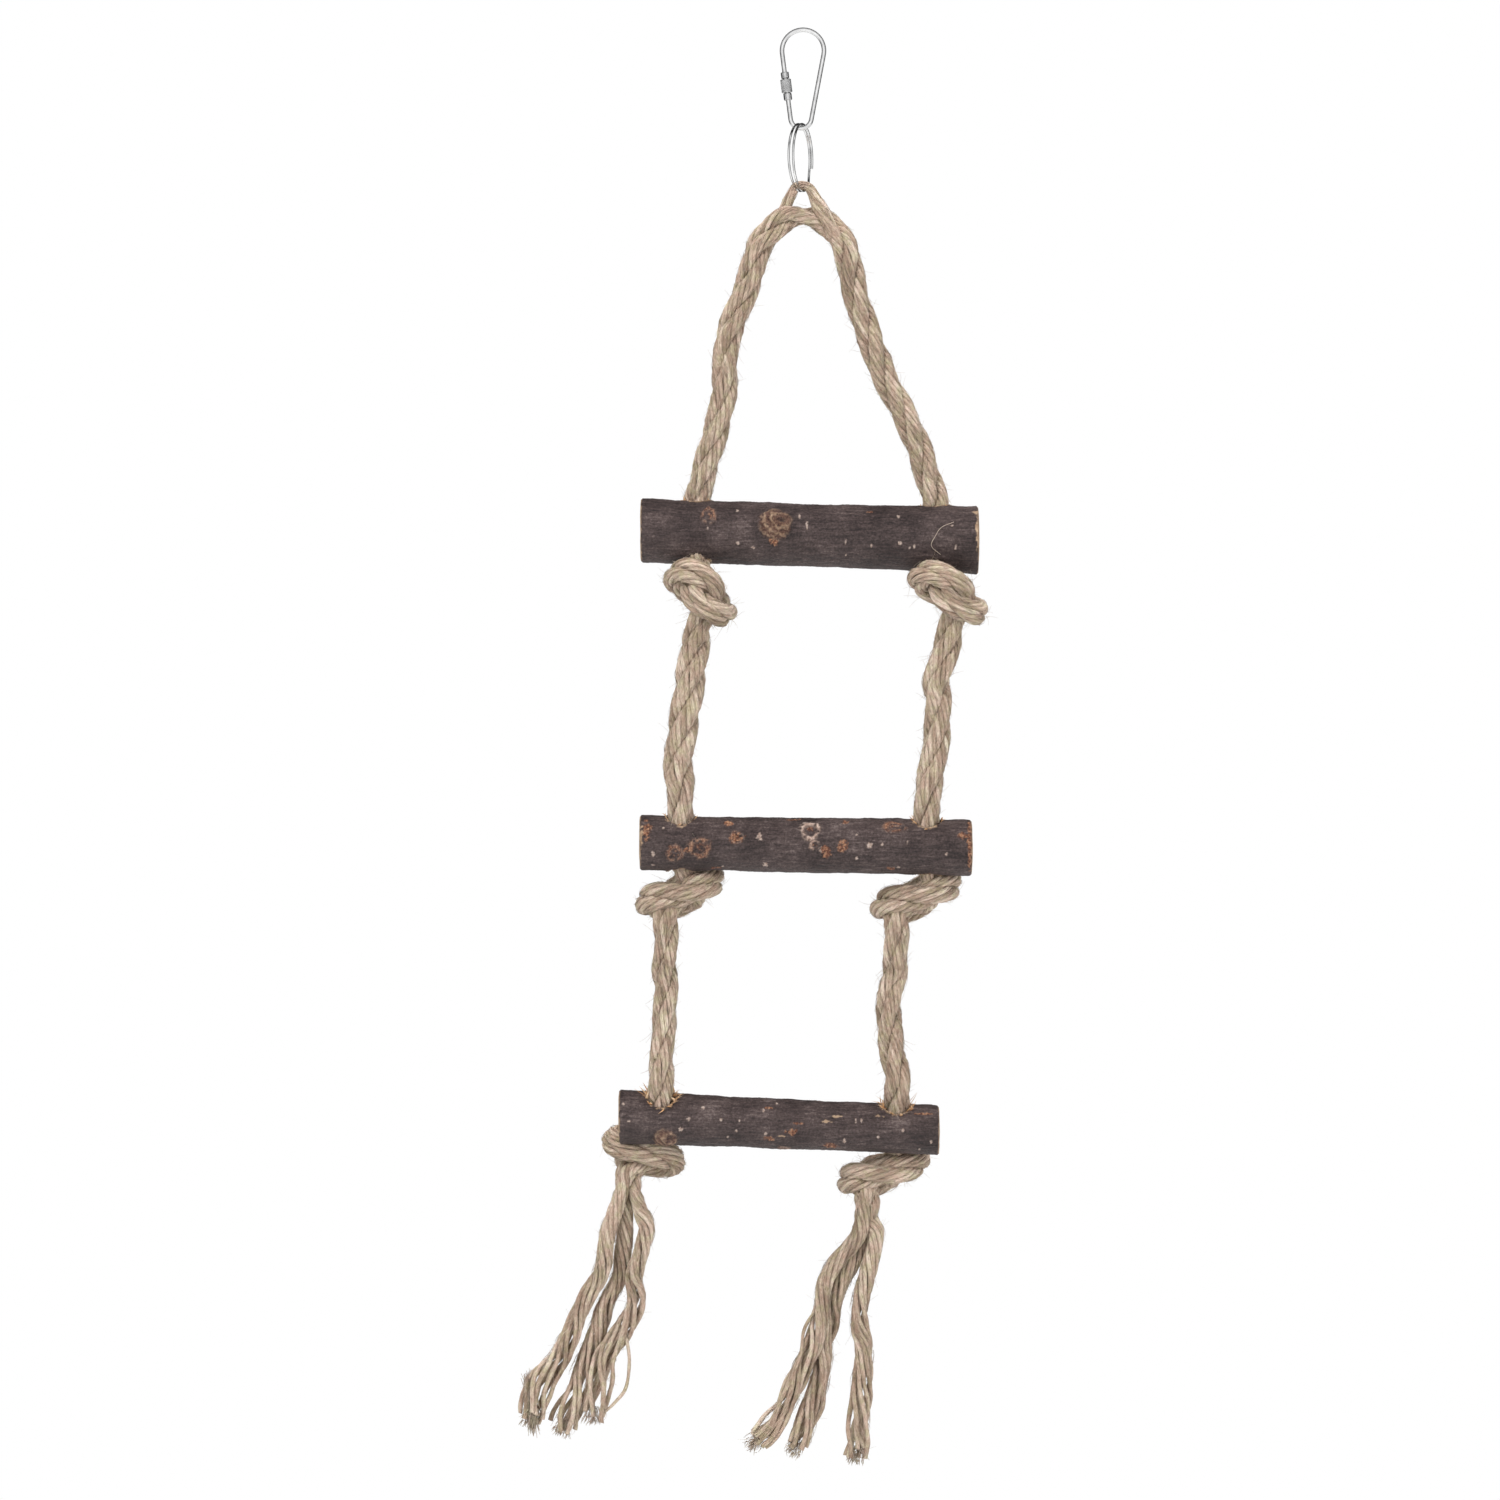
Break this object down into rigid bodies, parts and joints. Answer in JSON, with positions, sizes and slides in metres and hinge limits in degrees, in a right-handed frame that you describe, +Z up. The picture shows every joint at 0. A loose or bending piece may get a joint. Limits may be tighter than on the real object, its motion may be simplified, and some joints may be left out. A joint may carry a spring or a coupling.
{
  "type": "hanging rope ladder",
  "caption": "Small hanging rope ladder: one folded jute rope knotted under three bark-covered branch rungs, its ends unlaid into tassels, hung from a split ring and a screw-lock wire carabiner.",
  "frame": {"origin": "inside of the carabiner's top bend, where a hook or bar bears", "axes": "+Z up along the hang line, +X to the right seen from the front, +Y away from the front"},
  "size_m": [0.1882, 0.0403, 0.5739],
  "materials": {
    "zinc_plated_steel": "bright zinc plate",
    "bark_covered_branch": "natural dark bark",
    "jute_rope": "natural three-strand jute"
  },
  "bodies": {
    "carabiner": {"carabiner_wire": "zinc_plated_steel", "carabiner_upper_ferrule": "zinc_plated_steel", "carabiner_lower_ferrule": "zinc_plated_steel"},
    "nut": {"lock_nut": "zinc_plated_steel"},
    "ring": {"split_ring": "zinc_plated_steel"},
    "rope_fold": {"lifted_strand": "jute_rope", "rope_crown": "jute_rope", "left_leg": "jute_rope", "right_leg": "jute_rope", "knot_top_left": "jute_rope", "knot_top_right": "jute_rope"},
    "top_rung": {"rung_top": "bark_covered_branch"},
    "upper_necks": {"neck_upper_left": "jute_rope", "neck_upper_right": "jute_rope"},
    "upper_left_span": {"span_upper_left": "jute_rope"},
    "upper_right_span": {"span_upper_right": "jute_rope"},
    "middle_hold": {"stub_middle_left": "jute_rope", "stub_middle_right": "jute_rope", "knot_middle_left": "jute_rope", "knot_middle_right": "jute_rope"},
    "middle_rung": {"rung_middle": "bark_covered_branch"},
    "lower_necks": {"neck_lower_left": "jute_rope", "neck_lower_right": "jute_rope"},
    "lower_left_span": {"span_lower_left": "jute_rope"},
    "lower_right_span": {"span_lower_right": "jute_rope"},
    "bottom_hold": {"stub_bottom_left": "jute_rope", "stub_bottom_right": "jute_rope", "knot_bottom_left": "jute_rope", "knot_bottom_right": "jute_rope"},
    "bottom_rung": {"rung_bottom": "bark_covered_branch"},
    "left_tassel_neck": {"tassel_neck_left": "jute_rope"},
    "left_tassel": {"tassel_left_strand_1": "jute_rope", "tassel_left_strand_2": "jute_rope", "tassel_left_strand_3": "jute_rope"},
    "right_tassel_neck": {"tassel_neck_right": "jute_rope"},
    "right_tassel": {"tassel_right_strand_1": "jute_rope", "tassel_right_strand_2": "jute_rope", "tassel_right_strand_3": "jute_rope"}
  },
  "joints": [
    {"name": "lock_nut_screw", "type": "slide", "parent": "carabiner", "child": "nut", "axis": [-0.1271, 0, 0.9919], "range_m": [0, 0.0045]},
    {"name": "ring_swing", "type": "hinge", "parent": "carabiner", "child": "ring", "pos_m": [-0.0008, 0, -0.0385], "axis": [1, 0, 0], "range_deg": [-70, 100]},
    {"name": "rope_swing", "type": "hinge", "parent": "ring", "child": "rope_fold", "pos_m": [-0.0008, 0, -0.0646], "axis": [0, 1, 0], "range_deg": [-35, 35]},
    {"name": "top_rung_lift", "type": "slide", "parent": "rope_fold", "child": "top_rung", "axis": [0, 0.1736, 0.9848], "range_m": [0, 0.0035]},
    {"name": "upper_fold", "type": "hinge", "parent": "rope_fold", "child": "upper_necks", "pos_m": [0, -0.004, -0.24375], "axis": [1, 0, 0], "range_deg": [-90, 90], "stiffness_Nm_per_rad": 0.15},
    {"name": "upper_rack", "type": "hinge", "parent": "upper_necks", "child": "upper_left_span", "pos_m": [-0.0454, -0.004, -0.26075], "axis": [0, 1, 0], "range_deg": [-20, 20], "stiffness_Nm_per_rad": 0.25},
    {"name": "upper_rack_right", "type": "hinge", "parent": "upper_necks", "child": "upper_right_span", "pos_m": [0.0531, -0.004, -0.26075], "axis": [0, 1, 0], "range_deg": [-20, 20]},
    {"name": "middle_level", "type": "hinge", "parent": "upper_left_span", "child": "middle_hold", "pos_m": [-0.0489, -0.00545, -0.3046], "axis": [0, 1, 0], "range_deg": [-20, 20]},
    {"name": "middle_rung_lift", "type": "slide", "parent": "middle_hold", "child": "middle_rung", "axis": [0, -0.2588, 0.9659], "range_m": [0, 0.008]},
    {"name": "lower_fold", "type": "hinge", "parent": "middle_hold", "child": "lower_necks", "pos_m": [0, 0.0045, -0.3614], "axis": [1, 0, 0], "range_deg": [-90, 90], "stiffness_Nm_per_rad": 0.15},
    {"name": "lower_rack", "type": "hinge", "parent": "lower_necks", "child": "lower_left_span", "pos_m": [-0.0554, 0.0045, -0.3764], "axis": [0, 1, 0], "range_deg": [-20, 20], "stiffness_Nm_per_rad": 0.25},
    {"name": "lower_rack_right", "type": "hinge", "parent": "lower_necks", "child": "lower_right_span", "pos_m": [0.037, 0.0045, -0.3764], "axis": [0, 1, 0], "range_deg": [-20, 20]},
    {"name": "bottom_level", "type": "hinge", "parent": "lower_left_span", "child": "bottom_hold", "pos_m": [-0.0568, -0.0062, -0.418], "axis": [0, 1, 0], "range_deg": [-20, 20]},
    {"name": "bottom_rung_lift", "type": "slide", "parent": "bottom_hold", "child": "bottom_rung", "axis": [0, -0.4695, 0.8829], "range_m": [0, 0.007]},
    {"name": "left_tassel_fold", "type": "hinge", "parent": "bottom_hold", "child": "left_tassel_neck", "pos_m": [-0.0706, 0.01, -0.464], "axis": [1, 0, 0], "range_deg": [-60, 60], "stiffness_Nm_per_rad": 0.02},
    {"name": "left_tassel_sway", "type": "hinge", "parent": "left_tassel_neck", "child": "left_tassel", "pos_m": [-0.0714, 0.01, -0.478], "axis": [0, 1, 0], "range_deg": [-25, 25], "stiffness_Nm_per_rad": 0.02},
    {"name": "right_tassel_fold", "type": "hinge", "parent": "bottom_hold", "child": "right_tassel_neck", "pos_m": [0.0256, 0.01, -0.4714], "axis": [1, 0, 0], "range_deg": [-60, 60], "stiffness_Nm_per_rad": 0.02},
    {"name": "right_tassel_sway", "type": "hinge", "parent": "right_tassel_neck", "child": "right_tassel", "pos_m": [0.0246, 0.01, -0.483], "axis": [0, 1, 0], "range_deg": [-25, 25], "stiffness_Nm_per_rad": 0.02}
  ],
  "couplings": [
    {"joint": "upper_rack_right", "follows": "upper_rack", "ratio": 1},
    {"joint": "middle_level", "follows": "upper_rack", "ratio": -1},
    {"joint": "lower_rack_right", "follows": "lower_rack", "ratio": 1},
    {"joint": "bottom_level", "follows": "lower_rack", "ratio": -1}
  ]
}
